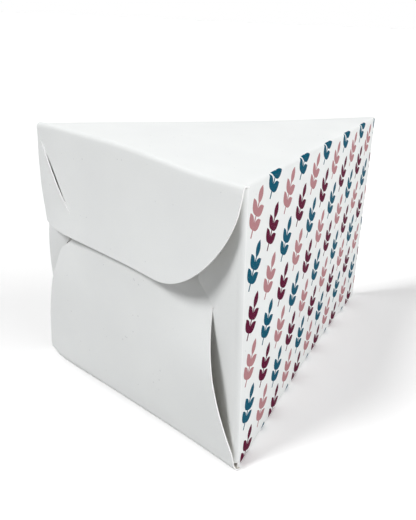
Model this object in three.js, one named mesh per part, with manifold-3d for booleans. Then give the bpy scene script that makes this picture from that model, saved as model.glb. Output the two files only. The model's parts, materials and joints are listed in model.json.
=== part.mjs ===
// A wedge-shaped carton for one slice of cake, folded from a single sheet of card.
// Its wide end closes with two side flaps, a bottom flap that tucks behind their noses,
// and a top flap that hangs over them from the front edge of the top panel.
// Millimetres, +Z up. X runs across the wide end and +Y points at the narrow end.

import * as THREE from "three";
import { mergeVertices } from "three/addons/utils/BufferGeometryUtils.js";
import Module from "manifold-3d";

// Driving dimensions of the carton
const endWidth = 105;
const boxLength = 149;
const boxHeight = 94.5;
const cardThickness = 0.45;
const fitGap = 0.3;
const longFoldRadius = 1;
const uprightFoldRadius = 1.4;

// Side flaps of the wide end, each with a nose that stands free above its lower lobe.
// Drops are measured down from the top of the carton.
const sideFlapLean = 0.11;
const noseReach = 19.5;
const noseTipDrop = 32.8;
const noseTipRound = 2.5;
const notchReach = 12.4;
const notchDrop = 41.4;
const lobeReach = 30;
const lobeTopDrop = 56.5;
const lobeFootHeight = 5;
const lobeCorner = 6;

// Bottom flap, which curls up from the floor panel, swells outwards and tucks in again
const curlRadius = 3.2;
const bottomFlapTopDrop = 23.5;
const bottomFlapSwell = 3.4;
const bottomFlapCrown = 0.2;
const swellDrop = 62.5;
const tuckDepth = 4.6;
const shoulderDrop = 39.5;
const shoulderInset = 10.6;
const shoulderBelly = 0.33;
const bottomFlapTopInset = 14.6;
const bottomFlapCorner = 10;
const bottomFlapColumns = 20;
const bottomFlapRows = 26;

// Top flap, which is cut with a slit at its left side
const beadRadius = 0.7;
const topFlapHeight = 35.5;
const topFlapCorner = 33;
const topFlapLeftCorner = 1;
const topFlapStandOff = 4.2;
const standOffPower = 1.3;
const topFlapCornerLift = 2.4;
const cornerLiftPower = 1.2;
const stripTurn = 22.5;
const slitTopReach = 2;
const slitTopDrop = 5.7;
const slitFootReach = 22.4;
const slitFootDrop = 26.4;
const slitGap = 0.9;
const slitLip = 0.9;
const stripColumns = 6;
const mainColumns = 28;
const topFlapRows = 20;

// Glue seam inside the narrow end
const seamTabWidth = 12;
const seamTabInset = 4;

// How finely curves are divided, and how far a cutter runs past what it cuts
const outlineSegments = 10;
const foldSegments = 4;
const edgeSegments = 3;
const curlSegments = 8;
const beadSides = 16;
const cutterMargin = 1;

const wasm = await Module();
wasm.setup();

const halfWidth = endWidth / 2;
const endRecess = cardThickness + fitGap;
const wallSlope = halfWidth / (boxLength - endRecess);
const topPanelFront = 2 * beadRadius + fitGap;
const hingeHeight = boxHeight - beadRadius;
const noseTipHeight = boxHeight - noseTipDrop;
const notchHeight = boxHeight - notchDrop;
const lobeTopHeight = boxHeight - lobeTopDrop;
const bottomFlapTop = boxHeight - bottomFlapTopDrop;
const swellHeight = boxHeight - swellDrop;
const shoulderHeight = boxHeight - shoulderDrop;
const topFlapFoot = boxHeight - topFlapHeight;
const slitTopHeight = boxHeight - slitTopDrop;
const slitFootHeight = boxHeight - slitFootDrop;
const curlBack = curlRadius + cardThickness;

const halfWidthAt = (y) => halfWidth - Math.max(0, y - endRecess) * wallSlope;
const sideFlapBack = endRecess + lobeReach * sideFlapLean + 2 * cardThickness;
const sideFlapFront = (x) => endRecess + (halfWidth - Math.abs(x)) * sideFlapLean;
const smoothStep = (from, to, value) => THREE.MathUtils.smoothstep(value, from, to);

const stations = (from, to, count) => Array.from(
  { length: count + 1 },
  (_, i) => from + (to - from) * i / count,
);

const toSolid = (geometry) => {
  const bare = geometry.clone();
  bare.deleteAttribute("normal");
  bare.deleteAttribute("uv");
  const merged = mergeVertices(bare, 1e-4);
  return new wasm.Manifold(new wasm.Mesh({
    numProp: 3,
    vertProperties: Float32Array.from(merged.attributes.position.array),
    triVerts: Uint32Array.from(merged.index.array),
  }));
};

const toGeometry = (solid) => {
  const mesh = solid.getMesh();
  const geometry = new THREE.BufferGeometry();
  geometry.setAttribute("position", new THREE.BufferAttribute(mesh.vertProperties, 3));
  geometry.setIndex(new THREE.BufferAttribute(mesh.triVerts, 1));
  geometry.computeVertexNormals();
  return geometry;
};

const block = (fromX, toX, fromY, toY, fromZ, toZ) => {
  const geometry = new THREE.BoxGeometry(toX - fromX, toY - fromY, toZ - fromZ);
  geometry.translate((fromX + toX) / 2, (fromY + toY) / 2, (fromZ + toZ) / 2);
  return toSolid(geometry);
};

// A closed outline through the corners, each rounded by its own radius
const roundedShape = (corners) => {
  const shape = new THREE.Shape();
  corners.forEach(({ x, y, round = 0 }, index) => {
    const here = new THREE.Vector2(x, y);
    const before = corners.at(index - 1);
    const after = corners[(index + 1) % corners.length];
    const toBefore = new THREE.Vector2(before.x, before.y).sub(here).normalize();
    const toAfter = new THREE.Vector2(after.x, after.y).sub(here).normalize();
    if (round > 0) {
      const halfAngle = toBefore.angleTo(toAfter) / 2;
      const middle = toBefore.clone().add(toAfter).setLength(round / Math.sin(halfAngle)).add(here);
      const run = round / Math.tan(halfAngle);
      const start = toBefore.clone().setLength(run).add(here).sub(middle);
      const end = toAfter.clone().setLength(run).add(here).sub(middle);
      shape.absarc(middle.x, middle.y, round, start.angle(), end.angle(), start.cross(end) < 0);
    } else if (index === 0) {
      shape.moveTo(x, y);
    } else {
      shape.lineTo(x, y);
    }
  });
  shape.closePath();
  return shape;
};

// The same outline with every side moved inwards
const insetCorners = (corners, distance) => corners.map((corner, index) => {
  const before = corners.at(index - 1);
  const after = corners[(index + 1) % corners.length];
  const here = new THREE.Vector2(corner.x, corner.y);
  const arriving = here.clone().sub(new THREE.Vector2(before.x, before.y)).normalize();
  const leaving = new THREE.Vector2(after.x, after.y).sub(here).normalize();
  const inward = new THREE.Vector2(-arriving.y - leaving.y, arriving.x + leaving.x).normalize();
  const reach = distance / (inward.y * arriving.x - inward.x * arriving.y);
  return {
    x: corner.x + inward.x * reach,
    y: corner.y + inward.y * reach,
    round: Math.max(0, (corner.round ?? 0) - distance),
  };
});

// An outline drawn on the wide end, as seen from the front, made solid along Y
const throughEnd = (shape, fromY, toY) => {
  const geometry = new THREE.ExtrudeGeometry(shape, {
    depth: toY - fromY,
    bevelEnabled: false,
    curveSegments: outlineSegments,
  });
  geometry.rotateX(Math.PI / 2);
  geometry.translate(0, toY, 0);
  return toSolid(geometry);
};

// A sheet of card across the wide end. placeAt(column, row) gives x and z of a corner of its net,
// and frontAt(x, z, column) the place of its outer face.
const bentSheet = (columns, rows, placeAt, frontAt) => {
  const geometry = new THREE.BoxGeometry(columns, cardThickness, rows, columns, 1, rows);
  const position = geometry.attributes.position;
  for (let i = 0; i < position.count; i += 1) {
    const column = Math.round(position.getX(i) + columns / 2);
    const row = Math.round(position.getZ(i) + rows / 2);
    const { x, z } = placeAt(column, row);
    const y = position.getY(i) + cardThickness / 2 + frontAt(x, z, column);
    position.setXYZ(i, x, y, z);
  }
  return toSolid(geometry);
};

// Plan of the sleeve: two walls that meet at the narrow end
const sleeveCorners = () => [
  { x: halfWidth, y: endRecess, round: uprightFoldRadius },
  { x: 0, y: boxLength, round: uprightFoldRadius },
  { x: -halfWidth, y: endRecess, round: uprightFoldRadius },
];

const sleevePrism = (corners, fromZ, toZ, edgeRadius) => {
  const geometry = new THREE.ExtrudeGeometry(roundedShape(corners), {
    depth: toZ - fromZ - 2 * edgeRadius,
    bevelEnabled: true,
    bevelThickness: edgeRadius,
    bevelSize: edgeRadius,
    bevelOffset: -edgeRadius,
    bevelSegments: edgeSegments,
    curveSegments: foldSegments,
  });
  geometry.translate(0, 0, fromZ + edgeRadius);
  return toSolid(geometry);
};

// Walls, top panel and floor panel, still shut across the wide end
const makeSleeve = () => {
  const outside = sleevePrism(sleeveCorners(), 0, boxHeight, longFoldRadius);
  const inside = sleevePrism(
    insetCorners(sleeveCorners(), cardThickness),
    cardThickness,
    boxHeight - cardThickness,
    longFoldRadius - cardThickness,
  );
  return outside.subtract(inside);
};

// A side flap hangs on its wall's upright fold: a lobe, a notch above it and then the nose
const makeSideFlap = (side) => {
  const root = halfWidth - uprightFoldRadius;
  const corners = [
    { x: root, y: lobeFootHeight },
    { x: root, y: boxHeight - 2 * longFoldRadius },
    { x: halfWidth - noseReach, y: noseTipHeight, round: noseTipRound },
    { x: halfWidth - notchReach, y: notchHeight },
    { x: halfWidth - lobeReach, y: lobeTopHeight, round: lobeCorner },
    { x: halfWidth - lobeReach, y: lobeFootHeight, round: lobeCorner },
  ].map(({ x, y, round }) => ({ x: side * x, y, round }));
  const place = (column, row) => ({ x: side * (halfWidth - lobeReach * column), z: boxHeight * row });
  const sheet = bentSheet(1, 1, (column, row) => place(side > 0 ? 1 - column : column, row), sideFlapFront);
  const outline = roundedShape(side > 0 ? corners : corners.reverse());
  return sheet.intersect(throughEnd(outline, -endRecess, sideFlapBack));
};

// The rolled fold between the floor panel and the bottom flap
const makeCurl = () => {
  const side = halfWidthAt(curlBack);
  const section = new THREE.Shape();
  section.moveTo(curlBack, 0);
  section.lineTo(curlBack, cardThickness);
  section.lineTo(curlRadius, cardThickness);
  section.absarc(curlRadius, curlRadius, curlRadius - cardThickness, Math.PI * 1.5, Math.PI, true);
  section.lineTo(0, curlRadius);
  section.absarc(curlRadius, curlRadius, curlRadius, Math.PI, Math.PI * 1.5, false);
  section.closePath();
  const geometry = new THREE.ExtrudeGeometry(section, {
    depth: 2 * side,
    bevelEnabled: false,
    curveSegments: curlSegments,
  });
  geometry.rotateX(Math.PI / 2);
  geometry.rotateZ(Math.PI / 2);
  geometry.translate(-side, 0, 0);
  return toSolid(geometry);
};

const bottomFlapFront = (x, z) => {
  const rise = Math.min(1, Math.max(0, z - curlRadius) / (swellHeight - curlRadius));
  const crown = 1 - bottomFlapCrown * (x / halfWidth) ** 2;
  const tuck = smoothStep(swellHeight, noseTipHeight + curlRadius, z);
  return tuckDepth * tuck - bottomFlapSwell * crown * Math.sin(Math.PI / 2 * rise) * (1 - tuck);
};

const bottomFlapOutline = () => {
  const side = halfWidthAt(curlBack);
  const shoulder = halfWidth - shoulderInset;
  const top = halfWidth - bottomFlapTopInset;
  const foot = curlRadius - cardThickness / 2;
  const belly = (shoulderHeight - foot) / 2;
  const bellyX = shoulder + shoulderInset * shoulderBelly;
  const bellyZ = shoulderHeight - belly / 2;
  const outline = new THREE.Shape();
  outline.moveTo(-side, foot);
  outline.lineTo(side, foot);
  outline.bezierCurveTo(side, foot + belly, bellyX, bellyZ, shoulder, shoulderHeight);
  outline.lineTo(top, bottomFlapTop - bottomFlapCorner);
  outline.quadraticCurveTo(top, bottomFlapTop, top - bottomFlapCorner, bottomFlapTop);
  outline.lineTo(bottomFlapCorner - top, bottomFlapTop);
  outline.quadraticCurveTo(-top, bottomFlapTop, -top, bottomFlapTop - bottomFlapCorner);
  outline.lineTo(-shoulder, shoulderHeight);
  outline.bezierCurveTo(-bellyX, bellyZ, -side, foot + belly, -side, foot);
  return outline;
};

const makeBottomFlap = () => {
  const xs = stations(-halfWidth, halfWidth, bottomFlapColumns);
  const zs = stations(curlRadius, bottomFlapTop + cardThickness, bottomFlapRows);
  const place = (column, row) => ({ x: xs[column], z: zs[row] });
  const sheet = bentSheet(bottomFlapColumns, bottomFlapRows, place, bottomFlapFront);
  return sheet.intersect(throughEnd(bottomFlapOutline(), -2 * bottomFlapSwell, 2 * tuckDepth));
};

// The tab of the right wall that is glued inside the left wall at the narrow end
const makeSeamTab = () => {
  const tip = boxLength - uprightFoldRadius - 2 * cardThickness / Math.sin(Math.atan(wallSlope));
  const end = tip - seamTabWidth;
  const innerX = (y) => -halfWidthAt(y) + cardThickness;
  const shape = new THREE.Shape();
  shape.moveTo(innerX(tip) - cardThickness / 2, tip);
  shape.lineTo(innerX(end) - cardThickness / 2, end);
  shape.lineTo(innerX(end) + cardThickness, end);
  shape.lineTo(innerX(tip) + cardThickness, tip);
  shape.closePath();
  const geometry = new THREE.ExtrudeGeometry(shape, {
    depth: boxHeight - 2 * seamTabInset,
    bevelEnabled: false,
  });
  geometry.translate(0, 0, seamTabInset);
  return toSolid(geometry);
};

const makeCarton = () => {
  const innerHalf = halfWidthAt(curlBack) - cardThickness;
  const mouthHalf = halfWidth - 2 * uprightFoldRadius;
  const mouth = block(-mouthHalf, mouthHalf, -endRecess, endRecess + 2 * cardThickness,
    cardThickness, boxHeight - cardThickness);
  const floorFront = block(-innerHalf, innerHalf, -endRecess, curlRadius, -cardThickness, lobeFootHeight);
  const hingeRoom = block(-endWidth, endWidth, -endRecess, topPanelFront,
    boxHeight - topPanelFront, boxHeight + cardThickness);
  return makeSleeve()
    .subtract(mouth)
    .subtract(floorFront)
    .subtract(hingeRoom)
    .add(makeSideFlap(1))
    .add(makeSideFlap(-1))
    .add(makeCurl())
    .add(makeBottomFlap())
    .add(makeSeamTab());
};

const slitSlope = (slitFootReach - slitTopReach) / (slitTopHeight - slitFootHeight);
const slitAt = (z) => Math.max(slitTopReach / 2, slitTopReach + (slitTopHeight - z) * slitSlope) - halfWidth;
const slitShare = (z) => THREE.MathUtils.clamp((slitTopHeight - z) / (slitTopHeight - slitFootHeight), 0, 1);

// The flap leans out from its hinge, turns back to the box at its left side, and its left lip of
// the slit stands proud of the right one
const topFlapFront = (x, z, column) => {
  const fall = THREE.MathUtils.clamp((hingeHeight - z) / (topFlapHeight - beadRadius), 0, 1);
  const fromLeft = THREE.MathUtils.clamp((x + halfWidth) / stripTurn, 0, 1);
  const turn = 1 - (1 - fromLeft) ** 2;
  const rightwards = smoothStep(0, halfWidth, x);
  const stripWidth = slitAt(z) + halfWidth;
  const nearSlit = column <= stripColumns ? (x + halfWidth) / stripWidth : 0;
  const lip = slitLip * Math.sin(Math.PI * slitShare(z)) * nearSlit ** 2;
  const standOff = topFlapStandOff * fall ** standOffPower * turn;
  const cornerLift = topFlapCornerLift * fall ** cornerLiftPower * rightwards;
  return -standOff - cornerLift - lip;
};

const slitPath = () => {
  const top = new THREE.Vector2(slitTopReach - halfWidth, slitTopHeight);
  const foot = new THREE.Vector2(slitFootReach - halfWidth, slitFootHeight);
  const across = foot.clone().sub(top).normalize().rotateAround(new THREE.Vector2(), Math.PI / 2);
  const middle = top.clone().add(foot).divideScalar(2);
  const path = new THREE.Path();
  path.moveTo(top.x, top.y);
  path.quadraticCurveTo(middle.x + across.x * slitGap, middle.y + across.y * slitGap, foot.x, foot.y);
  path.quadraticCurveTo(middle.x - across.x * slitGap, middle.y - across.y * slitGap, top.x, top.y);
  return path;
};

const makeTopFlap = () => {
  const outline = roundedShape([
    { x: -halfWidth, y: topFlapFoot, round: topFlapLeftCorner },
    { x: halfWidth, y: topFlapFoot },
    { x: halfWidth, y: boxHeight },
    { x: -halfWidth, y: boxHeight },
  ]);
  outline.holes.push(slitPath());
  const cornerX = halfWidth - topFlapCorner;
  const cornerZ = topFlapFoot + topFlapCorner;
  const corner = new THREE.Shape();
  corner.moveTo(halfWidth + cutterMargin, topFlapFoot - cutterMargin);
  corner.lineTo(halfWidth + cutterMargin, cornerZ);
  corner.lineTo(halfWidth, cornerZ);
  corner.absarc(cornerX, cornerZ, topFlapCorner, 0, -Math.PI / 2, true);
  corner.lineTo(cornerX, topFlapFoot - cutterMargin);
  corner.closePath();
  const columns = stripColumns + 1 + mainColumns;
  const place = (column, row) => {
    const z = topFlapFoot + (hingeHeight - topFlapFoot) * row / topFlapRows;
    const slit = slitAt(z);
    const x = column <= stripColumns
      ? -halfWidth + (slit - slitGap / 2 + halfWidth) * column / stripColumns
      : slit + slitGap / 2 + (halfWidth - slit - slitGap / 2) * (column - stripColumns - 1) / mainColumns;
    return { x, z };
  };
  const reach = 2 * (topFlapStandOff + topFlapCornerLift);
  const bead = new THREE.CylinderGeometry(beadRadius, beadRadius, endWidth, beadSides);
  bead.rotateZ(Math.PI / 2);
  bead.translate(0, beadRadius, hingeHeight);
  return bentSheet(columns, topFlapRows, place, topFlapFront)
    .intersect(throughEnd(outline, -reach, reach))
    .subtract(throughEnd(corner, -reach, reach))
    .add(toSolid(bead));
};

const card = (name, colour, roughness) => new THREE.MeshStandardMaterial({
  name,
  color: colour,
  roughness,
  metalness: 0,
});

const whiteCard = card("white_card", 0xdfe2e0, 0.7);

const named = (name, solid) => {
  const mesh = new THREE.Mesh(toGeometry(solid), whiteCard);
  mesh.name = name;
  return mesh;
};

// The frame's origin is the middle of the whole carton's footprint
const carton = new THREE.Group();
carton.add(named("carton", makeCarton()));
carton.add(named("top_flap", makeTopFlap()));
const bounds = new THREE.Box3().setFromObject(carton);
carton.position.y = -(bounds.min.y + bounds.max.y) / 2;
carton.updateMatrixWorld(true);

export default carton;
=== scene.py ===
import bpy
import json
import math
from mathutils import Matrix, Vector


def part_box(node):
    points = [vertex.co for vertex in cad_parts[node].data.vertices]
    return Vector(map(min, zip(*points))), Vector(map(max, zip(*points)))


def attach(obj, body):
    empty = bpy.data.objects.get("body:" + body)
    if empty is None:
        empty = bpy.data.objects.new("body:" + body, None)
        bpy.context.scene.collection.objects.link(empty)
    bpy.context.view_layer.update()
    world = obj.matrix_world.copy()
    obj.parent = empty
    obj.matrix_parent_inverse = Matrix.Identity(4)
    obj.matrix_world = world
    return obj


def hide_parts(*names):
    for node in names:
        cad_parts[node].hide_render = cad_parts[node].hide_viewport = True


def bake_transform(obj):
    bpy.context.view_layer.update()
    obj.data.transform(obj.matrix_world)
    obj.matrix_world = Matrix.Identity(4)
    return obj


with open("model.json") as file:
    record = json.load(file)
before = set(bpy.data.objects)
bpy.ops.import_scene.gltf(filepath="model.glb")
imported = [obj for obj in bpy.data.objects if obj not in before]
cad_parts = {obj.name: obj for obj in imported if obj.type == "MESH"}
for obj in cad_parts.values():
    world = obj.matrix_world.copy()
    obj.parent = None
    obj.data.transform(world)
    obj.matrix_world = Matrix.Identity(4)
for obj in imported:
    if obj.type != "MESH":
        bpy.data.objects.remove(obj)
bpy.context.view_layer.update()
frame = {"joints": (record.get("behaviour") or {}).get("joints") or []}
mm = 0.001

# The carton's own measures, from the frame: x runs across the wide end, y towards the narrow end
cartonBox = [[value / mm for value in corner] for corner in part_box("carton")]
flapBox = [[value / mm for value in corner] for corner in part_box("top_flap")]
hinge = [value / mm for value in frame["joints"][0]["pos_m"]]
halfWidth = flapBox[1][0]
height = cartonBox[1][2]
endY = hinge[1] - (height - hinge[2])     # the plane of the wide end, a fold's radius before the hinge
topFlapFoot = flapBox[0][2]

card = {
    "thickness": 0.45,
    "gap": 0.3,
    "edgeBevel": 0.07,
    "edgeAngle": 50,
    "smoothAngle": 40,
    "longFold": 1.0,
    "uprightFold": 1.4,
    "foldSteps": 5,
    "tipRounds": 20,
}
recess = card["thickness"] + card["gap"]     # the flaps fold in behind the top flap's card
wallSpan = cartonBox[1][1] - endY - recess
boxLength = wallSpan + recess
for step in range(card["tipRounds"]):     # the plan's sharp tip lies beyond the rounded one of the frame
    tipAngle = math.atan(halfWidth / (boxLength - recess))
    boxLength = wallSpan + recess + card["uprightFold"] * (1 / math.sin(tipAngle) - 1)
print("frame: wide end", round(2 * halfWidth, 2), "height", round(height, 2), "length", round(boxLength, 2))


# Small tools

def smooth(low, high, value):
    share = min(1.0, max(0.0, (value - low) / (high - low)))
    return share * share * (3 - 2 * share)


def mix(low, high, share):
    return low + (high - low) * share


def stations(low, high, count):
    return [mix(low, high, i / count) for i in range(count + 1)]


def clearSelection():
    if bpy.context.object and bpy.context.object.mode != "OBJECT":
        bpy.ops.object.mode_set(mode="OBJECT")
    bpy.ops.object.select_all(action="DESELECT")


def makeActive(piece):
    clearSelection()
    piece.select_set(True)
    bpy.context.view_layer.objects.active = piece


def selectParts(piece, faces=None, edges=None):
    # goes into edit mode with the faces or the edges selected that pass the test
    makeActive(piece)
    bpy.ops.object.mode_set(mode="EDIT")
    bpy.ops.mesh.select_mode(type="FACE" if faces else "EDGE")
    bpy.ops.mesh.select_all(action="DESELECT")
    bpy.ops.object.mode_set(mode="OBJECT")
    test = faces or edges
    for part in piece.data.polygons if faces else piece.data.edges:
        part.select = bool(test(part))
    bpy.ops.object.mode_set(mode="EDIT")


def moveVertices(piece, place):
    # every vertex goes where place(x, y, z) says, all in millimetres
    for vertex in piece.data.vertices:
        vertex.co = [value * mm for value in place(*[value / mm for value in vertex.co])]
    piece.data.update()


def newGrid(name, columns, rows, width, tall, place):
    # a flat net of width by tall, sized in millimetres on its UV map too, and then put in place
    clearSelection()
    bpy.ops.mesh.primitive_grid_add(x_subdivisions=columns, y_subdivisions=rows, size=1)
    piece = bpy.context.object
    piece.name = piece.data.name = name
    uvLayer = piece.data.uv_layers[0]
    uvLayer.name = "unfoldedCard"
    for loop in uvLayer.data:
        loop.uv = (loop.uv[0] * width, loop.uv[1] * tall)
    for vertex in piece.data.vertices:
        across = (vertex.co.x + 0.5) * width
        along = (vertex.co.y + 0.5) * tall
        vertex.co = [value * mm for value in place(across, along)]
    return piece


def newOutline(name, corners, cutsAcross, cutsUp):
    # a flat outline in x and z, cut at the stations given so that it can bend
    clearSelection()
    bpy.ops.mesh.primitive_circle_add(vertices=len(corners), radius=50 * mm, fill_type="NGON")
    piece = bpy.context.object
    piece.name = piece.data.name = name
    for vertex, corner in zip(piece.data.vertices, corners):
        vertex.co = (corner[0] * mm, 0, corner[1] * mm)
    bpy.ops.object.mode_set(mode="EDIT")
    for normal, cuts in (((1, 0, 0), cutsAcross), ((0, 0, 1), cutsUp)):
        for cut in cuts:
            bpy.ops.mesh.select_all(action="SELECT")
            bpy.ops.mesh.bisect(plane_co=[cut * mm * value for value in normal], plane_no=normal)
    bpy.ops.object.mode_set(mode="OBJECT")
    return piece


def roundCorners(corners, steps=8):
    # corners are (x, y, radius), and each becomes an arc
    path = []
    for index, (x, y, radius) in enumerate(corners):
        here = Vector((x, y))
        if radius == 0:
            path.append(here)
            continue
        before = (Vector(corners[index - 1][:2]) - here).normalized()
        after = (Vector(corners[(index + 1) % len(corners)][:2]) - here).normalized()
        half = before.angle(after) / 2
        middle = here + (before + after).normalized() * radius / math.sin(half)
        start = here + before * radius / math.tan(half) - middle
        end = here + after * radius / math.tan(half) - middle
        turn = start.angle_signed(end)
        for step in range(steps + 1):
            path.append(middle + Matrix.Rotation(-turn * step / steps, 2) @ start)
    return path


def thicken(piece, inward=True):
    # gives the sheet its thickness and smooths it. The back of a plain face takes slot 2. A printed
    # face's back takes slot 3, as the cut edges do.
    makeActive(piece)
    wall = piece.modifiers.new("wall", "SOLIDIFY")
    wall.thickness = card["thickness"] * mm
    wall.offset = -1 if inward else 1
    wall.use_even_offset = True
    wall.material_offset = 2
    wall.material_offset_rim = 3
    bpy.ops.object.modifier_apply(modifier="wall")
    edge = piece.modifiers.new("cutEdge", "BEVEL")
    edge.width = card["edgeBevel"] * mm
    edge.segments = 1
    edge.limit_method = "ANGLE"
    edge.angle_limit = math.radians(card["edgeAngle"])
    edge.harden_normals = False
    bpy.ops.object.modifier_apply(modifier="cutEdge")
    bpy.ops.object.shade_smooth_by_angle(angle=math.radians(card["smoothAngle"]))


def faceOutwards(piece, test):
    # test(middle, normal) is above 0 for a face that looks outwards, and the sheet is turned over
    # where most of its area looks inwards
    makeActive(piece)
    bpy.ops.object.mode_set(mode="EDIT")
    bpy.ops.mesh.select_all(action="SELECT")
    bpy.ops.mesh.normals_make_consistent(inside=False)
    bpy.ops.object.mode_set(mode="OBJECT")
    score = sum(face.area * test(face.center / mm, face.normal) for face in piece.data.polygons)
    if score < 0:
        bpy.ops.object.mode_set(mode="EDIT")
        bpy.ops.mesh.select_all(action="SELECT")
        bpy.ops.mesh.flip_normals()
        bpy.ops.object.mode_set(mode="OBJECT")


# How the real carton departs from its drawing. It is wider at its left and at its foot, its top fold
# bows up, its right wall is drawn in at its bottom edge and its left bottom corner rolls out.
# Lengths are in millimetres. What ends in Over is the stretch where a change comes on, in shares, and
# what ends in From is the same in millimetres.
warp = {
    "left": 1.9,
    "footLeft": 1.2,
    "footLeftOver": (0, 0.6),
    "footRight": 1.3,
    "tip": 0.7,
    "tipOver": (0, 0.05),
    "cornerOut": 0.8,
    "cornerOutOver": (0.37, 0.48),
    "cornerInOver": (0.55, 0.7),
    "cornerPower": 4,
    "crown": 2.4,
    "crownRiseOver": (-0.3, 0.1),
    "crownFallOver": (0.42, 0.9),
    "crownUpOver": (0.45, 1),
    "crownReach": 95,
    "crownPower": 1.3,
    "wallDraw": 1.4,
    "wallDrawFrom": (2, 14),
    "rollLeft": 4.2,
    "rollOver": (-1.1, 1),
    "rollCorner": 0.5,
    "rollCornerOver": (0.8, 1),
}


def crownAt(x):
    share = (x + halfWidth) / (2 * halfWidth)
    return warp["crown"] * smooth(*warp["crownRiseOver"], share) * (1 - smooth(*warp["crownFallOver"], share))


def rollBulge(x):
    # how far the rolled bottom edge stands out, most at the left
    corner = 1 - warp["rollCorner"] * smooth(*warp["rollCornerOver"], -x / halfWidth)
    return warp["rollLeft"] * (1 - smooth(*warp["rollOver"], x / halfWidth)) * corner


def warped(x, y, z, corner=1):
    # from the drawn place to the real one, with y from the plane of the wide end. A corner of 0 is
    # for a piece that does not bend out at the left, below the notch.
    front = 1 - smooth(0, boxLength, y)
    low = 1 - z / height
    toRight, toLeft = max(0, x) / halfWidth, max(0, -x) / halfWidth
    wider = warp["left"] + warp["footLeft"] * smooth(*warp["footLeftOver"], low)
    wider += warp["tip"] * (1 - smooth(*warp["tipOver"], low))
    x += (warp["footRight"] * smooth(0, 1, low) * toRight - wider * toLeft) * front
    atCorner = toLeft ** warp["cornerPower"] * front ** warp["cornerPower"]
    belowNotch = smooth(*warp["cornerOutOver"], low) * (1 - smooth(*warp["cornerInOver"], low))
    y -= corner * warp["cornerOut"] * atCorner * belowNotch
    along = min(1, max(0, y / boxLength))
    x -= warp["wallDraw"] * smooth(*warp["wallDrawFrom"], x) * math.sin(math.pi * along) * max(0, low) ** 2
    nearFront = max(0, 1 - y / warp["crownReach"]) ** warp["crownPower"]
    lift = crownAt(x) * nearFront * smooth(*warp["crownUpOver"], z / height)
    return x, y + endY, z + lift


# Card finishes

# A shader node's output, wrapped so that maths on it reads as maths
class Socket:
    def __init__(self, maker, out):
        self.maker = maker
        self.out = out

    def maths(self, operation, first, second=None):
        values = [first] if second is None else [first, second]
        return self.maker.node("ShaderNodeMath", {"operation": operation}, values)

    def __add__(self, other):
        return self.maths("ADD", self, other)

    def __sub__(self, other):
        return self.maths("SUBTRACT", self, other)

    def __rsub__(self, other):
        return self.maths("SUBTRACT", other, self)

    def __mul__(self, other):
        return self.maths("MULTIPLY", self, other)

    def __truediv__(self, other):
        return self.maths("DIVIDE", self, other)

    def __gt__(self, other):
        return self.maths("GREATER_THAN", self, other)

    def __lt__(self, other):
        return self.maths("LESS_THAN", self, other)

    def __abs__(self):
        return self.maths("ABSOLUTE", self)

    __radd__ = __add__
    __rmul__ = __mul__

    def floored(self):
        return self.maths("FLOOR", self)

    def most(self, other):
        return self.maths("MAXIMUM", self, other)


# A material and the tree of nodes that it is made of
class Finish:
    def __init__(self, name):
        self.material = bpy.data.materials.new(name)
        self.material.use_nodes = True
        self.tree = self.material.node_tree
        self.tree.nodes.clear()

    def node(self, kind, settings, values, output=0):
        # values go to the node's inputs by name or by order, and a Socket is linked to its input
        made = self.tree.nodes.new(kind)
        for key, value in settings.items():
            setattr(made, key, value)
        pairs = values.items() if isinstance(values, dict) else enumerate(values)
        for key, value in pairs:
            if isinstance(value, Socket):
                self.tree.links.new(value.out, made.inputs[key])
            else:
                made.inputs[key].default_value = value
        return Socket(self, made.outputs[output]) if made.outputs else None

    def noise(self, place, scale, detail, rough=0.5):
        values = {"Vector": place, "Scale": scale, "Detail": detail, "Roughness": rough}
        return self.node("ShaderNodeTexNoise", {}, values)

    def blend(self, share, first, second):
        # colours go through Mix, whose colour sockets are 6 and 7
        return self.node("ShaderNodeMix", {"data_type": "RGBA"}, {0: share, 6: first, 7: second}, 2)

    def finish(self, values):
        shader = self.node("ShaderNodeBsdfPrincipled", {}, {"Specular IOR Level": paper["shine"], **values})
        self.node("ShaderNodeOutputMaterial", {}, {"Surface": shader})


def linear(value):
    # one sRGB channel of 0 to 255 as linear light
    share = value / 255
    return share / 12.92 if share <= 0.04045 else ((share + 0.055) / 1.055) ** 2.4


def colour(red, green, blue):
    return linear(red), linear(green), linear(blue), 1


paper = {
    "face": colour(243, 245, 244),
    "shade": colour(236, 238, 238),
    "inside": colour(226, 223, 216),
    "edge": colour(252, 252, 252),
    # the cut edges glow a little by emission, a painted highlight that makes them brighter than the lamps
    # light them
    "edgePaintedGlow": 0.09,
    "speck": colour(176, 178, 182),
    "roughness": 0.62,
    "roughnessSpread": 0.16,
    "shine": 0.2,
    "grain": 0.05,
    "grainDepth": 0.0002,
    "fibreScale": 2600,
    "fibreShare": 0.9,
    "cloudScale": 38,
    "cloudShare": 1.3,
    "fleckScale": 420,
    "fleckSize": 0.12,
    "fleckPlaceScale": 210,
    "fleckPlaceFrom": 0.66,
    "fleckShare": 0.35,
}
sprigs = {
    "pitchAlong": 13.4,
    "pitchUp": 16.4,
    "foot": -7.4,
    "bareStem": 2.2,
    "pairs": 2,
    "leafEvery": 4.2,
    "leafLength": 5.9,
    "leafWidth": 1.6,
    "leafTurn": 48,
    "budLength": 5.6,
    "budWidth": 1.7,
    "stem": 0.42,
    "tilt": 28,
    "inks": [colour(92, 0, 46), colour(0, 84, 108), colour(182, 130, 134)],
    "leafSet": 0.24,
    "budLap": 0.5,
    "rowStart": 0.31,
    "shine": 0.03,
    "smoother": 0.14,
    "wear": 0.2,
    "wearScale": 2.4,
    "wearFrom": 0.66,
}


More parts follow.
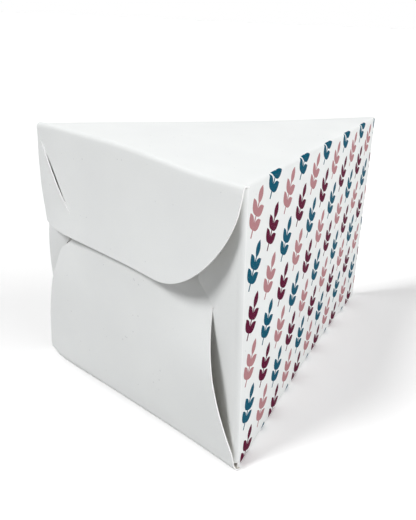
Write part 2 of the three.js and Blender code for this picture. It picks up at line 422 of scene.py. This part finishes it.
def cardGrain(finish, base, shade):
    # fine fibres, a slow mottle and a few tiny specks, on Object coordinates
    place = finish.node("ShaderNodeTexCoord", {}, {}, 3)
    fibre = finish.noise(place, paper["fibreScale"], 4, 0.6)
    cloud = finish.noise(place, paper["cloudScale"], 3)
    fleck = finish.node("ShaderNodeTexVoronoi", {}, {"Vector": place, "Scale": paper["fleckScale"]}, 0)
    fleckPlace = finish.noise(place, paper["fleckPlaceScale"], 0)
    mottle = (fibre - 0.5) * paper["fibreShare"] + (cloud - 0.5) * paper["cloudShare"] + 0.5
    tone = finish.blend(mottle, shade, base)
    spot = (fleck < paper["fleckSize"]) * (fleckPlace > paper["fleckPlaceFrom"])
    tone = finish.blend(spot * paper["fleckShare"], tone, paper["speck"])
    relief = {"Strength": paper["grain"], "Distance": paper["grainDepth"], "Height": fibre}
    bump = finish.node("ShaderNodeBump", {}, relief)
    return tone, paper["roughness"] + (cloud - 0.5) * paper["roughnessSpread"], bump


def cardFinish(name, base, shade, glow=0.0):
    finish = Finish(name)
    tone, roughness, bump = cardGrain(finish, base, shade)
    finish.finish({
        "Base Color": tone,
        "Roughness": roughness,
        "Normal": bump,
        # a glow above 0 is painted light: the card shines by itself, with no lamp
        "Emission Color": base,
        "Emission Strength": glow,
    })
    return finish.material


def lens(lengthwise, across, length, width):
    # a leaf from 0 to length, widest in its middle
    fromMiddle = (lengthwise - length / 2) / (length / 2)
    return abs(across) < (1 - fromMiddle * fromMiddle) * width


def sprigMask(along, up):
    # one sprig: a stem with pairs of lens-shaped leaves and a bud, drawn round the middle of its cell
    turn = math.radians(sprigs["leafTurn"])
    leafy = sprigs["pairs"] * sprigs["leafEvery"]
    side = abs(along)
    fromRoot = up - (sprigs["foot"] + sprigs["bareStem"])
    step = fromRoot / sprigs["leafEvery"]
    root = (step - step.floored()) * sprigs["leafEvery"] - sprigs["leafSet"]
    lengthwise = side * math.sin(turn) + root * math.cos(turn)
    across = side * math.cos(turn) - root * math.sin(turn)
    leaf = lens(lengthwise, across, sprigs["leafLength"], sprigs["leafWidth"])
    leaf = leaf * (fromRoot > 0) * (fromRoot < leafy)
    stem = (side < sprigs["stem"]) * (up > sprigs["foot"]) * (fromRoot < leafy)
    bud = lens(fromRoot - leafy + sprigs["budLap"], along, sprigs["budLength"], sprigs["budWidth"])
    return stem.most(leaf).most(bud)


def printedFinish(name):
    # the walls' own pattern, laid out on the unfolded card in millimetres
    finish = Finish(name)
    tone, roughness, bump = cardGrain(finish, paper["face"], paper["shade"])
    flat = finish.node("ShaderNodeUVMap", {"uv_map": "unfoldedCard"}, {})
    spread = finish.node("ShaderNodeSeparateXYZ", {}, {0: flat}, 0)
    spreadUp = Socket(finish, spread.out.node.outputs[1])
    column = (spread / sprigs["pitchAlong"]).floored()
    along = spread - (column + 0.5) * sprigs["pitchAlong"]
    odd = column - (column / 2).floored() * 2
    shifted = spreadUp + odd * (sprigs["pitchUp"] / 2) + sprigs["pitchUp"] * sprigs["rowStart"]
    row = (shifted / sprigs["pitchUp"]).floored()
    up = shifted - (row + 0.5) * sprigs["pitchUp"]
    pick = row + odd
    pick = pick - (pick / 3).floored() * 3
    cosine = math.cos(math.radians(sprigs["tilt"]))
    sine = math.sin(math.radians(sprigs["tilt"]))
    turnedAlong = along * cosine - up * sine
    turnedUp = up * cosine + along * sine
    mask = sprigMask(turnedAlong, turnedUp)
    ink = finish.blend(pick > 0.5, sprigs["inks"][0], sprigs["inks"][1])
    ink = finish.blend(pick > 1.5, ink, sprigs["inks"][2])
    grit = finish.noise(flat, sprigs["wearScale"], 3)
    cover = mask * (1 - (grit > sprigs["wearFrom"]) * sprigs["wear"])
    printed = finish.blend(cover, tone, ink)
    finish.finish({
        "Base Color": printed,
        "Roughness": roughness - mask * sprigs["smoother"],
        "Normal": bump,
        "Specular IOR Level": sprigs["shine"],
    })
    return finish.material


whiteCard = cardFinish("whiteCard", paper["face"], paper["shade"])
printedCard = printedFinish("printedCard")
innerCard = cardFinish("innerCard", paper["inside"], paper["inside"])
# cut edges: the card's own white core, with a painted highlight glow on top
edgeCard = cardFinish("edgeCard", paper["edge"], paper["edge"], paper["edgePaintedGlow"])
print("finishes: made")


def dress(piece, printed=None):
    # slots: outer face, printed outer face, inner face, cut edge
    for material in (whiteCard, printedCard, innerCard, edgeCard):
        piece.data.materials.append(material)
    for face in piece.data.polygons:
        face.material_index = 1 if printed and printed(face) else 0


# Walls, top panel and floor panel

walls = {
    "columns": 46,
    "apexSteps": 9,
    "rows": 14,
    "panelColumns": 15,
    "panelRows": 21,
    "flapLean": 0.11,
    "rimSlack": 0.001,
    "levelFace": 0.99,
    "printedFace": 0.985,
}
outwards = Vector((math.cos(tipAngle), math.sin(tipAngle)))
alongWall = Vector((-math.sin(tipAngle), math.cos(tipAngle)))
frontNormal = Vector((-walls["flapLean"], -1)).normalized()
foldRadius = card["uprightFold"]


def meet(firstNormal, firstReach, secondNormal, secondReach):
    # where two lines cross, each given by its normal and its reach along it
    both = Matrix((firstNormal, secondNormal))
    return both.inverted() @ Vector((firstReach, secondReach))


wallCorner = Vector((halfWidth, recess))
foldMiddle = meet(
    outwards, outwards.dot(wallCorner) - foldRadius,
    frontNormal, frontNormal.dot(wallCorner) - foldRadius,
)
apexMiddle = Vector((0, boxLength - foldRadius / math.sin(tipAngle)))
wallStart = foldMiddle + outwards * foldRadius
wallEnd = apexMiddle + outwards * foldRadius
wallLength = (wallEnd - wallStart).length
apexTurn = math.pi - 2 * tipAngle
bandLength = 2 * wallLength + apexTurn * foldRadius
longFold = card["longFold"]
foldArc = longFold * math.pi / 2
bandHeight = height - 2 * longFold + 2 * foldArc


def planAt(across):
    # outer face of the sleeve in plan, from the right wall's front round the narrow end: point and normal
    if across <= wallLength:
        return wallStart + alongWall * across, outwards
    if across >= bandLength - wallLength:
        point = wallStart + alongWall * (bandLength - across)
        return Vector((-point.x, point.y)), Vector((-outwards.x, outwards.y))
    turn = tipAngle + (across - wallLength) / foldRadius
    normal = Vector((math.cos(turn), math.sin(turn)))
    return apexMiddle + normal * foldRadius, normal


def bandPlace(across, up):
    point, normal = planAt(across)
    if up < foldArc:
        turn = (foldArc - up) / longFold
        inset, z = longFold * (1 - math.cos(turn)), longFold * (1 - math.sin(turn))
    elif up > bandHeight - foldArc:
        turn = (up - bandHeight + foldArc) / longFold
        inset, z = longFold * (1 - math.cos(turn)), height - longFold * (1 - math.sin(turn))
    else:
        inset, z = 0, up - foldArc + longFold
    point = point - normal * inset
    return point.x, point.y, z


def makeWalls():
    flat = stations(0, wallLength, walls["columns"] // 2)
    arc = stations(wallLength, bandLength - wallLength, walls["apexSteps"])[1:]
    across = flat + arc + [bandLength - value for value in flat[:-1]][::-1]
    fold = stations(0, foldArc, card["foldSteps"])
    middle = stations(foldArc, bandHeight - foldArc, walls["rows"])[1:-1]
    up = fold + middle + [bandHeight - value for value in fold][::-1]
    columns, rows = len(across) - 1, len(up) - 1
    piece = newGrid("wallCard", columns, rows, columns, rows, lambda x, y: (x, y, 0))
    layer = piece.data.uv_layers["unfoldedCard"]
    for loop in layer.data:
        loop.uv = (across[round(loop.uv[0])], up[round(loop.uv[1])] - foldArc + longFold)
    moveVertices(piece, lambda x, y, z: bandPlace(across[round(x)], up[round(y)]))
    for level in (height, 0):     # the top panel and the floor close the band's two rims
        selectParts(piece, edges=lambda edge: all(
            abs(piece.data.vertices[corner].co.z / mm - level) < walls["rimSlack"]
            for corner in edge.vertices
        ))
        bpy.ops.mesh.edge_face_add()
        bpy.ops.object.mode_set(mode="OBJECT")
    for normal, cuts in (
        ((1, 0, 0), stations(-halfWidth, halfWidth, walls["panelColumns"])[1:-1]),
        ((0, 1, 0), stations(0, boxLength, walls["panelRows"])[1:-1]),
    ):
        for cut in cuts:
            selectParts(piece, faces=lambda face: abs(face.normal.z) > walls["levelFace"])
            bpy.ops.mesh.bisect(plane_co=[cut * mm * value for value in normal], plane_no=normal)
            bpy.ops.object.mode_set(mode="OBJECT")
    faceOutwards(piece, lambda middle, normal: normal.z * (middle.z - height / 2))
    dress(piece, printed=lambda face: abs(face.normal.z) < walls["printedFace"])
    moveVertices(piece, warped)
    thicken(piece)
    return piece


# Side flaps, each with a nose that stands free above its lower lobe. Pairs that differ are given for
# the right side, 1, and the left side, -1. A notch is (reach, height), and sinkOver is two heights.

sideFlap = {
    "noseReach": 19.5,
    "noseTip": {1: 61.7, -1: 57.9},
    "noseRound": 2.5,
    "notch": {1: (12.4, 54.0), -1: (12.2, 51.6)},
    "rootFoot": 2.6,
    "lobeReach": 30,
    "lobeTop": 38,
    "lobeFoot": 5,
    "lobeRound": 6,
    "topClear": 0.6,
    "curl": {1: 1.8, -1: 4.0},
    "curlPower": 2,
    "curlRoom": 4,
    "curlEnd": 70,
    "sink": {1: 6.0, -1: 1.0},
    "sinkPower": 1.3,
    "sinkOver": (6, 52),
    "shoulder": 3,
    "columns": 8,
    "rows": 22,
}
flapTurn = math.atan2(outwards.y, outwards.x) - math.atan2(frontNormal.y, frontNormal.x)
flapArc = flapTurn * foldRadius
flapRun = Vector((frontNormal.y, -frontNormal.x))
flapStart = foldMiddle + frontNormal * foldRadius


def sideFlapPlace(reach, z, side):
    # reach is measured round the fold from the front of the wall
    if reach < flapArc:
        turn = math.atan2(outwards.y, outwards.x) - reach / foldRadius
        point = foldMiddle + Vector((math.cos(turn), math.sin(turn))) * foldRadius
    else:
        flap = sideFlap
        free = reach - flapArc
        nose = smooth(flap["notch"][side][1] - flap["curlRoom"], flap["noseTip"][side] + flap["curlRoom"], z)
        nose = nose * (1 - smooth(flap["curlEnd"], height, z))
        lobe = 1 - smooth(*flap["sinkOver"], z)
        curl = flap["curl"][side] * nose * (free / flap["noseReach"]) ** flap["curlPower"]
        sink = flap["sink"][side] * lobe * (free / flap["lobeReach"]) ** flap["sinkPower"]
        point = flapStart + flapRun * free + Vector((0, sink - curl))
    return point.x, point.y, z


def reachOf(inFromSide):
    return flapArc + (flapStart.x - (halfWidth - inFromSide)) / abs(flapRun.x)


def makeSideFlap(name, side):
    flap = sideFlap
    corners = [
        (0, flap["rootFoot"], 0),
        (0, height - flap["topClear"], 0),
        (reachOf(flap["shoulder"]), height - 2 * flap["topClear"], 0),
        (reachOf(flap["noseReach"]), flap["noseTip"][side], flap["noseRound"]),
        (reachOf(flap["notch"][side][0]), flap["notch"][side][1], 0),
        (reachOf(flap["lobeReach"]), flap["lobeTop"], flap["lobeRound"]),
        (reachOf(flap["lobeReach"]), flap["lobeFoot"], flap["lobeRound"]),
    ]
    cutsAcross = stations(0, flapArc, card["foldSteps"])[1:]
    cutsAcross += stations(flapArc, reachOf(flap["lobeReach"]), flap["columns"])[1:-1]
    cutsUp = stations(flap["lobeFoot"], height - 2 * longFold, flap["rows"])[1:-1]
    piece = newOutline(name, roundCorners(corners), cutsAcross, cutsUp)

    def place(x, y, z):
        across, back, level = sideFlapPlace(x, z, side)
        return warped(side * across, back, level)

    moveVertices(piece, place)
    faceOutwards(piece, lambda middle, normal: -normal.y)
    dress(piece)
    thicken(piece)
    return piece


# Bottom flap: rolls up from the floor, swells outwards and tucks in behind the noses. Its insets are
# how far each edge stands in from the box's side, as (height, inset). tuckOver and leftOver are shares
# of half the width.

bottomFlap = {
    "roll": 3.2,
    "top": 71,
    "swell": 3.4,
    "crown": 0.2,
    "swellAt": 32,
    "tuckMiddle": -2.5,
    "tuckRight": 4.0,
    "tuckLeft": 0.3,
    "tuckOver": (0.25, 0.85),
    "tuckTo": 64.2,
    "leftOver": (0.2, 0.8),
    "leftTuckStart": 4,
    "leftTuckDrop": 2.2,
    "leftSharper": 0.9,
    "topBack": 4,
    "topBackFrom": 58,
    "rightInsets": [
        (0, 0.1), (7, 0.7), (14.4, 3.1), (22, 5.3), (29.4, 7.1), (36.5, 8.7),
        (42.5, 10.5), (49, 12.1), (54, 12.9), (60, 13.4), (67, 16.5), (71, 25),
    ],
    "leftInsets": [
        (0, 0.1), (9, 1.3), (20, 3.2), (29, 5.2), (35.3, 7), (38.7, 8.4), (42.7, 10.1),
        (46.9, 11.4), (50.4, 12.6), (51.9, 14.5), (53.4, 17.3), (57.6, 22), (60, 23), (67, 26), (71, 30),
    ],
    "columns": 26,
    "rows": 34,
    "rollRows": 6,
}


def bottomFlapInset(z, side):
    knots = bottomFlap[side]
    for (lowZ, lowInset), (highZ, highInset) in zip(knots, knots[1:]):
        if z <= highZ:
            return mix(lowInset, highInset, max(0, z - lowZ) / (highZ - lowZ))
    return knots[-1][1]


def leftShare(x):
    return smooth(*bottomFlap["leftOver"], -x / halfWidth)


def bottomFlapFront(x, z):
    flap = bottomFlap
    toLeft = leftShare(x)
    rise = min(1, max(0, z - flap["roll"]) / (flap["swellAt"] - flap["roll"]))
    tuckFrom = flap["swellAt"] + flap["leftTuckStart"] * toLeft
    tuck = smooth(tuckFrom, flap["tuckTo"] - flap["leftTuckDrop"] * toLeft, z)
    crown = 1 - flap["crown"] * (x / halfWidth) ** 2
    swell = mix(rollBulge(x), flap["swell"] * crown, math.sin(math.pi / 2 * rise))
    sideTuck = flap["tuckRight"] if x > 0 else flap["tuckLeft"]
    depth = mix(flap["tuckMiddle"], sideTuck, smooth(*flap["tuckOver"], abs(x) / halfWidth))
    return depth * tuck - swell * (1 - tuck) + flap["topBack"] * smooth(flap["topBackFrom"], flap["top"], z)


def makeBottomFlap():
    flap = bottomFlap
    rollArc = flap["roll"] * math.pi / 2
    up = stations(0, rollArc, flap["rollRows"])
    up += [rollArc + value for value in stations(0, flap["top"] - flap["roll"], flap["rows"])[1:]]
    columns, rows = flap["columns"], len(up) - 1

    def place(x, y, z):
        reach = up[round(y)]
        turn = min(math.pi / 2, reach / flap["roll"])
        level = flap["roll"] * (1 - math.cos(turn)) + max(0, reach - rollArc)
        left = bottomFlapInset(level, "leftInsets") - halfWidth
        right = halfWidth - bottomFlapInset(level, "rightInsets")
        across = mix(left, right, x / columns)
        if reach < rollArc:
            level = flap["roll"] * (1 - math.cos(turn)) ** (1 + flap["leftSharper"] * leftShare(across))
        if reach <= rollArc:
            back = flap["roll"] - (flap["roll"] + rollBulge(across)) * math.sin(turn)
        else:
            back = bottomFlapFront(across, level)
        return warped(across, back, level, 0)

    piece = newGrid("bottomFlapCard", columns, rows, columns, rows, lambda x, y: (x, y, 0))
    moveVertices(piece, place)
    faceOutwards(piece, lambda middle, normal: -normal.y)
    dress(piece)
    thicken(piece)
    return piece


# Top flap: hangs from the front edge of the top panel, with a slit at its left side. The slit's ends
# are (distance from the left side, height), and leftBellyOver and leftTopOver are heights.

topFlap = {
    "corner": 33,
    "standOff": 4.2,
    "standPower": 1.3,
    "cornerLift": 2.4,
    "cornerPower": 1.0,
    "stripTurn": 22.5,
    "slitTop": (2, 88.8),
    "slitFoot": (23.6, 66.9),
    "slitGap": 0.3,
    "slitLeast": 0.01,
    "slitBlunt": 0.35,
    "slitLip": 0.9,
    "stripColumns": 8,
    "columns": 44,
    "columnSpread": 0.75,
    "rows": 30,
    "roll": 1.5,
    "rollRows": 6,
    "lap": 1.1,
    "lapRows": 2,
    "bead": 0.35,
    "leftFoot": 0.9,
    "leftBelly": 1.9,
    "leftBellyOver": (58, 74),
    "leftTop": 0.7,
    "leftTopOver": (80, 92),
    "weld": 0.02,
}


def slitAt(z):
    (topReach, topZ), (footReach, footZ) = topFlap["slitTop"], topFlap["slitFoot"]
    reach = topReach + (topZ - z) * (footReach - topReach) / (topZ - footZ)
    return max(topReach / 2, reach) - halfWidth


def slitShare(z):
    return min(1, max(0, (topFlap["slitTop"][1] - z) / (topFlap["slitTop"][1] - topFlap["slitFoot"][1])))


def topFlapFront(x, z, onStrip):
    flap = topFlap
    fall = min(1, max(0, (hinge[2] - z) / (hinge[2] - topFlapFoot)))
    turn = 1 - (1 - min(1, max(0, (x + halfWidth) / flap["stripTurn"]))) ** 2
    across = (x + halfWidth) / (slitAt(z) + halfWidth) if onStrip else 0
    lip = flap["slitLip"] * math.sin(math.pi * slitShare(z)) * across ** 2
    lift = flap["cornerLift"] * fall ** flap["cornerPower"] * smooth(0, halfWidth, x)
    return -flap["standOff"] * fall ** flap["standPower"] * turn - lift - lip


def topFlapEdge(x):
    # height of the lower edge, with its round right corner
    start = halfWidth - topFlap["corner"]
    if x <= start:
        return topFlapFoot
    return topFlapFoot + topFlap["corner"] - math.sqrt(max(0, topFlap["corner"] ** 2 - (x - start) ** 2))


def makeTopFlap():
    flap = topFlap
    rollArc = flap["roll"] * math.pi / 2
    lapRows = flap["lapRows"]
    columns = flap["stripColumns"] + 1 + flap["columns"]
    rows = lapRows + flap["rollRows"] + flap["rows"]
    foldZ = height - flap["roll"]

    def columnAt(column, z):
        opening = math.sin(math.pi * slitShare(z)) ** flap["slitBlunt"]
        half = (flap["slitGap"] * opening + flap["slitLeast"]) / 2
        slit = slitAt(z)
        if column <= flap["stripColumns"]:
            return mix(-halfWidth, slit - half, column / flap["stripColumns"])
        share = (column - flap["stripColumns"] - 1) / flap["columns"]
        share = mix(share, math.sin(math.pi / 2 * share), flap["columnSpread"])
        return mix(slit + half, halfWidth, share)

    def place(x, y, z):
        column, row = round(x), rows - round(y)
        if row <= lapRows:
            across = columnAt(column, foldZ)
            share = row / lapRows
            back = flap["roll"] + flap["lap"] * (1 - share)
            level = height + flap["bead"] * smooth(0, 1, share)
        elif row <= lapRows + flap["rollRows"]:
            across = columnAt(column, foldZ)
            turn = math.pi / 2 * (row - lapRows) / flap["rollRows"]
            back = flap["roll"] * (1 - math.sin(turn))
            level = foldZ + (flap["roll"] + flap["bead"]) * math.cos(turn)
        else:
            share = (row - lapRows - flap["rollRows"]) / flap["rows"]
            level = mix(foldZ, topFlapFoot, share)
            across = columnAt(column, level)
            level = mix(foldZ, topFlapEdge(across), share)
            across = columnAt(column, level)
            back = topFlapFront(across, level, column <= flap["stripColumns"])
        lift = crownAt(across) * smooth(topFlapFoot, foldZ, level)
        toLeft = flap["leftFoot"] + flap["leftBelly"] * smooth(*flap["leftBellyOver"], level)
        toLeft -= flap["leftTop"] * smooth(*flap["leftTopOver"], level)
        return across + toLeft * min(0, across) / halfWidth, back + endY, level + lift

    piece = newGrid("topFlapCard", columns, rows, columns, rows, lambda x, y: (x, y, 0))
    firstRow, lastRow = [
        lapRows + flap["rollRows"] + round((foldZ - z) / (foldZ - topFlapFoot) * flap["rows"])
        for z in (flap["slitTop"][1], flap["slitFoot"][1])
    ]

    def inSlit(face):
        # a face of the flat net is one millimetre square, and rows count from the top
        column = math.floor(face.center.x / mm)
        row = rows - 1 - math.floor(face.center.y / mm)
        return column == flap["stripColumns"] and firstRow <= row < lastRow

    selectParts(piece, faces=inSlit)
    bpy.ops.mesh.delete(type="FACE")
    bpy.ops.object.mode_set(mode="OBJECT")
    moveVertices(piece, place)
    makeActive(piece)
    bpy.ops.object.mode_set(mode="EDIT")
    bpy.ops.mesh.select_all(action="SELECT")
    bpy.ops.mesh.remove_doubles(threshold=flap["weld"] * mm)
    bpy.ops.object.mode_set(mode="OBJECT")
    faceOutwards(piece, lambda middle, normal: -normal.y)
    dress(piece)
    thicken(piece)
    return piece


# Glue tab inside the left wall at the narrow end

seamTab = {
    "width": 12,
    "inset": 4,
    "start": 1.5,
    "taper": 0.06,
    "clear": 0.02,
    "columns": 4,
    "rows": 8,
}


def makeSeamTab():
    tab = seamTab
    low, high = tab["inset"], height - tab["inset"]
    columns, rows = tab["columns"], tab["rows"]
    piece = newGrid("seamTabCard", columns, rows, tab["width"], high - low, lambda x, y: (x, y, 0))

    def place(x, y, z):
        point, normal = planAt(bandLength - wallLength + tab["start"] + x)
        point = point - normal * (card["thickness"] + tab["clear"])
        level = low + y
        taper = 1 - tab["taper"] * x / tab["width"]
        return warped(point.x, point.y, height / 2 + (level - height / 2) * taper)

    moveVertices(piece, place)
    faceOutwards(piece, lambda middle, normal: normal.x)
    dress(piece)
    thicken(piece, inward=False)
    return piece


wallCard = makeWalls()
print("walls: made")
rightFlapCard = makeSideFlap("rightFlapCard", 1)
leftFlapCard = makeSideFlap("leftFlapCard", -1)
bottomFlapCard = makeBottomFlap()
print("side flaps and bottom flap: made")
topFlapCard = makeTopFlap()
seamTabCard = makeSeamTab()
print("top flap and glue tab: made")

for piece in (wallCard, rightFlapCard, leftFlapCard, bottomFlapCard, seamTabCard):
    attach(piece, "carton")
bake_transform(topFlapCard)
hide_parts("carton")
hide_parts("top_flap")

# Studio: a pale floor, a pale world, wide soft suns and one small soft light. A sun has a name, the way
# it comes from, its width in degrees and its power. The floor and the world look white themselves, and
# throw less light on the card than they look as if they did.

studio = {
    "floorRadius": 40,
    "floorSides": 64,
    "floorDrop": 0.00005,
    "floorRoughness": 0.9,
    "floor": colour(250, 250, 250),
    "floorBounce": colour(192, 192, 192),
    "floorGlow": 0.16,
    "surround": 0.12,
    "suns": [
        ("farSide", (-1.0, 0.25, 0.35), 60, 0.8),
        ("front", (-0.2, -0.62, 0.76), 20, 2.25),
        ("fromRight", (1.0, 0.35, 0.3), 60, 1.95),
    ],
    "key": {"place": (0.4, 0.1, 0.5), "size": 0.3, "power": 0.75},
}
clearSelection()
bpy.ops.mesh.primitive_circle_add(
    vertices=studio["floorSides"], radius=studio["floorRadius"], fill_type="NGON",
)
floor = bpy.context.object
floor.name = "floor"
floor.data.transform(Matrix.Translation((0, 0, -studio["floorDrop"])))
floorFinish = Finish("paleFloor")
seen = floorFinish.node("ShaderNodeLightPath", {}, {}, 0)
floorFinish.finish({
    "Base Color": floorFinish.blend(seen, studio["floorBounce"], studio["floor"]),
    "Emission Color": floorFinish.blend(seen, (0, 0, 0, 1), (1, 1, 1, 1)),
    "Emission Strength": studio["floorGlow"],
    "Roughness": studio["floorRoughness"],
})
floor.data.materials.append(floorFinish.material)

world = bpy.data.worlds.new("studio")
bpy.context.scene.world = world
world.use_nodes = True
tree = world.node_tree
tree.nodes.clear()
path = tree.nodes.new("ShaderNodeLightPath")
strength = tree.nodes.new("ShaderNodeMapRange")
background = tree.nodes.new("ShaderNodeBackground")
surroundOut = tree.nodes.new("ShaderNodeOutputWorld")
strength.inputs["To Min"].default_value = studio["surround"]
strength.inputs["To Max"].default_value = 1
tree.links.new(path.outputs["Is Camera Ray"], strength.inputs["Value"])
tree.links.new(strength.outputs[0], background.inputs["Strength"])
background.inputs["Color"].default_value = (1, 1, 1, 1)
tree.links.new(background.outputs[0], surroundOut.inputs["Surface"])

for name, direction, softness, power in studio["suns"]:
    bpy.ops.object.light_add(type="SUN", location=direction)
    light = bpy.context.object
    light.name = name
    light.data.angle = math.radians(softness)
    light.data.energy = power
    light.rotation_mode = "QUATERNION"
    light.rotation_quaternion = Vector(direction).to_track_quat("Z", "Y")

key = studio["key"]
bpy.ops.object.light_add(type="AREA", location=key["place"])
light = bpy.context.object
light.name = "key"
light.data.size = key["size"]
light.data.energy = key["power"]
light.rotation_mode = "QUATERNION"
light.rotation_quaternion = (Vector(key["place"]) - Vector((0, 0, height / 2 * mm))).to_track_quat("Z", "Y")

# The camera: angles in degrees, the focus and the offset in pixels of the photograph, which is
# longSide pixels tall, and places in units of the box's width

shot = {
    "azimuth": 43.15,
    "elevation": 23.34,
    "roll": 2.439,
    "distance": 2.3166,
    "slide": (0.0537, 0.0186),
    "focus": 594.33,
    "offset": (30.05, 16.32),
    "longSide": 520,
    "unit": 2 * halfWidth * mm,
    "aim": (0, 0.45, 0.35),
    "sensor": 36,
    "nearest": 0.01,
}
azimuth, elevation, roll = (math.radians(shot[angle]) for angle in ("azimuth", "elevation", "roll"))
back = Vector((
    math.sin(azimuth) * math.cos(elevation),
    -math.cos(azimuth) * math.cos(elevation),
    math.sin(elevation),
))
right = Vector((math.cos(azimuth), math.sin(azimuth), 0))
up = back.cross(right)
aim = Vector(shot["aim"]) + right * shot["slide"][0] + up * shot["slide"][1]
rolledRight = right * math.cos(roll) + up * math.sin(roll)
rolledUp = up * math.cos(roll) - right * math.sin(roll)
bpy.ops.object.camera_add()
camera = bpy.context.object
camera.name = "camera"
turned = Matrix((rolledRight, rolledUp, back)).transposed().to_4x4()
place = (back * shot["distance"] + aim) * shot["unit"] + Vector((0, endY * mm, 0))
camera.matrix_world = Matrix.Translation(place) @ turned
camera.data.sensor_width = shot["sensor"]
camera.data.lens = shot["focus"] * shot["sensor"] / shot["longSide"]
camera.data.shift_x = -shot["offset"][0] / shot["longSide"]
camera.data.shift_y = shot["offset"][1] / shot["longSide"]
camera.data.clip_start = shot["nearest"]
bpy.context.scene.camera = camera
bpy.context.scene.view_settings.view_transform = "Standard"
